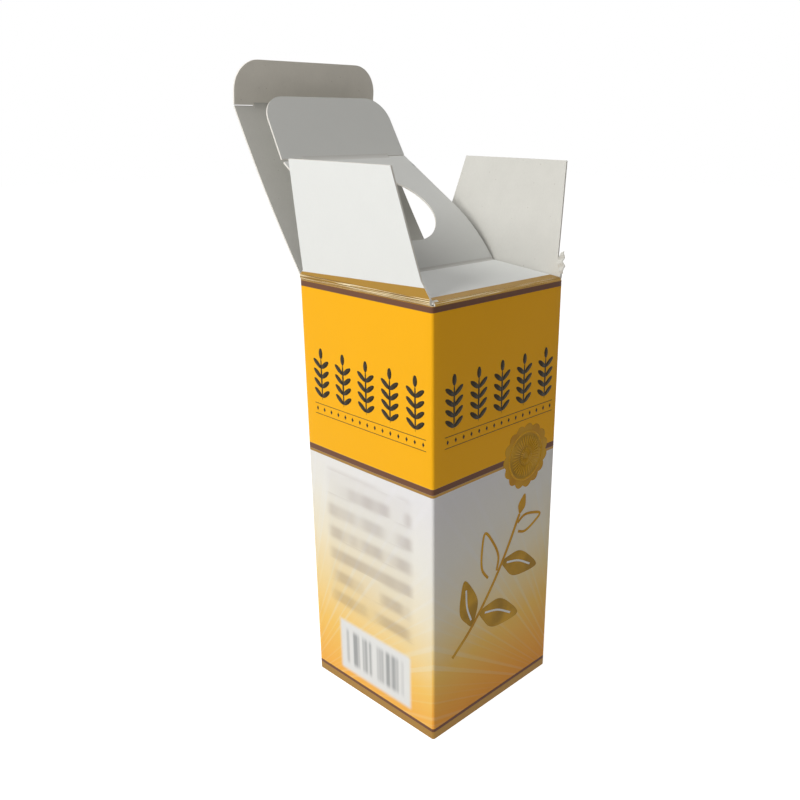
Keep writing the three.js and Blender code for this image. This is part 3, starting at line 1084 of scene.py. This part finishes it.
def wheel_tree():
    """Long beads set round a circle, each pointing outwards."""
    tree, given = shape_tree("wheel_of_beads", {"Count": 40, "Radius": 5.0, "Length": 2.0, "Width": 0.2})
    circle = add(tree, "GeometryNodeMeshCircle", {"Vertices": given["Count"], "Radius": given["Radius"]})
    bead = add(tree, "GeometryNodeMeshUVSphere", {"Segments": 8, "Rings": 5, "Radius": 0.5})
    size = add(tree, "ShaderNodeCombineXYZ", {0: given["Width"], 1: given["Length"], 2: given["Width"]})
    out = add(tree, "GeometryNodeInputPosition").outputs[0]
    turned = add(tree, "FunctionNodeAlignRotationToVector", {"Vector": out}, axis="Y", pivot_axis="Z")
    beads = repeated(tree, circle, bead, Rotation=turned.outputs[0], Scale=size.outputs[0])
    end_tree(tree, beads.outputs[0], highlit_foil)
    return tree


def lay_on_wall(piece, side, middle, proud):
    """Lays flat geometry, drawn in millimetres about its own middle, onto a wall."""
    place = on_wall(side, proud)
    for vertex in piece.data.vertices:
        x, y, z = vertex.co
        point, inward = place(middle[0] + x, middle[1] + y)
        vertex.co = (point - inward * z) * MM
    piece.data.update()
    for polygon in piece.data.polygons:
        polygon.use_smooth = True
    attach(piece, "carton")


wheel = wheel_tree()
scallop_line = []
for i in range(180):
    angle = 2 * math.pi * i / 180
    reach = rosette_radius * (1 + 0.1 * abs(math.sin(angle * scallops / 2)) + 0.012 * math.sin(3 * angle))
    scallop_line.append(arc(rosette_middle, reach, 2 * i, 2 * i, 1)[0])
for side in ("front", "back"):
    stamp("rosette_" + side, scallop_line, side, 0.05, gold_foil, spacing=1.0)
    stamp("rosette_boss_" + side, arc(rosette_middle, 6.6, 0, 360, 72)[:-1], side, 0.08, shaded_foil)
    rings = (
        ("rosette_ring_", 90, 7.0, 0.7, 0.42, 0.02),
        ("rosette_ribs_", 34, 4.4, 3.6, 0.3, 0.12),
        ("rosette_inner_ribs_", 20, 1.7, 1.9, 0.28, 0.12),
    )
    for name, count, radius, length, width, proud in rings:
        values = {"Count": count, "Radius": radius, "Length": length, "Width": width}
        lay_on_wall(piece_from(wheel, name + side, values), side, rosette_middle, proud)

# Sprigs
# A row of dark printed sprigs on the yellow field of each wall, over two fine lines with small lozenges
# between them.
ink_made, ink_tree, ink_shader = finish("dark_ink")
ink_shade, ink_height = fibre(ink_tree, 0.4, 5.0, 0.3)
ink_tree.links.new(shaded(ink_tree, srgb(46, 38, 20), ink_shade), ink_shader.inputs["Base Color"])
ink_shader.inputs["Roughness"].default_value = 0.5
ink_shader.inputs["Specular IOR Level"].default_value = 0.2
emboss(ink_tree, ink_shader, ink_height, 0.1, 0.04)


def plate(tree, width, height, turn=0.0, vertices=12):
    """A thin flat oval or lozenge."""
    round_plate = {"Vertices": vertices, "Side Segments": 1, "Radius": 0.5, "Depth": 0.1}
    disc = add(tree, "GeometryNodeMeshCylinder", round_plate).outputs[0]
    middle = (-math.sin(turn) * height / 2, math.cos(turn) * height / 2, 0)
    laid = {"Geometry": disc, "Scale": (width, height, 1.0), "Rotation": (0, 0, turn), "Translation": middle}
    return add(tree, "GeometryNodeTransform", laid)


def in_a_row(tree, thing, count, pitch):
    """Copies of a thing side by side."""
    step = add(tree, "ShaderNodeCombineXYZ", {0: pitch, 1: 0.0, 2: 0.0})
    line = add(tree, "GeometryNodeMeshLine", {"Count": count, "Offset": step.outputs[0]})
    return repeated(tree, line, thing).outputs[0]


def sprig_tree():
    tree, given = shape_tree("row_of_sprigs", {"Sprigs": 5, "Pitch": 9.0, "Leaf Pairs": 4})
    pair = add(tree, "GeometryNodeJoinGeometry")
    for turn in (0.95, -0.95):
        tree.links.new(plate(tree, 1.35, 3.9, turn).outputs[0], pair.inputs[0])
    stem_line = add(
        tree, "GeometryNodeMeshLine",
        {"Count": given["Leaf Pairs"], "Start Location": (0, 0.8, 0), "Offset": (0, 2.75, 0)},
    )
    leaves = repeated(tree, stem_line, pair)
    bud_plate = plate(tree, 1.5, 3.0).outputs[0]
    bud = add(tree, "GeometryNodeTransform", {"Geometry": bud_plate, "Translation": (0, 11.6, 0)})
    sprig = add(tree, "GeometryNodeJoinGeometry")
    for part in (leaves, plate(tree, 0.62, 12.6, 0.0, 8), bud):
        tree.links.new(part.outputs[0], sprig.inputs[0])
    end_tree(tree, in_a_row(tree, sprig, given["Sprigs"], given["Pitch"]), ink_made)
    return tree


def lozenge_tree():
    tree, given = shape_tree("row_of_lozenges", {"Count": 20, "Pitch": 2.2})
    lozenge = plate(tree, 0.8, 1.3, 0.0, 4)
    end_tree(tree, in_a_row(tree, lozenge, given["Count"], given["Pitch"]), ink_made)
    return tree


sprigs = sprig_tree()
lozenges = lozenge_tree()
for side in WALLS:
    row = piece_from(sprigs, "sprigs_" + side, {"Sprigs": 5, "Pitch": 9.1, "Leaf Pairs": 4})
    lay_on_wall(row, side, (7.6, 90.0), 0.0)
    row = piece_from(lozenges, "lozenges_" + side, {"Count": 15, "Pitch": 2.96})
    lay_on_wall(row, side, (5.3, 86.6), 0.0)
    for name, v in (("upper", 88.7), ("lower", 85.7)):
        line_outline = [(4.3, v - 0.08), (47.7, v - 0.08), (47.7, v + 0.08), (4.3, v + 0.08)]
        stamp(f"{name}_line_{side}", line_outline, side, 0.03, ink_made, spacing=2.5)
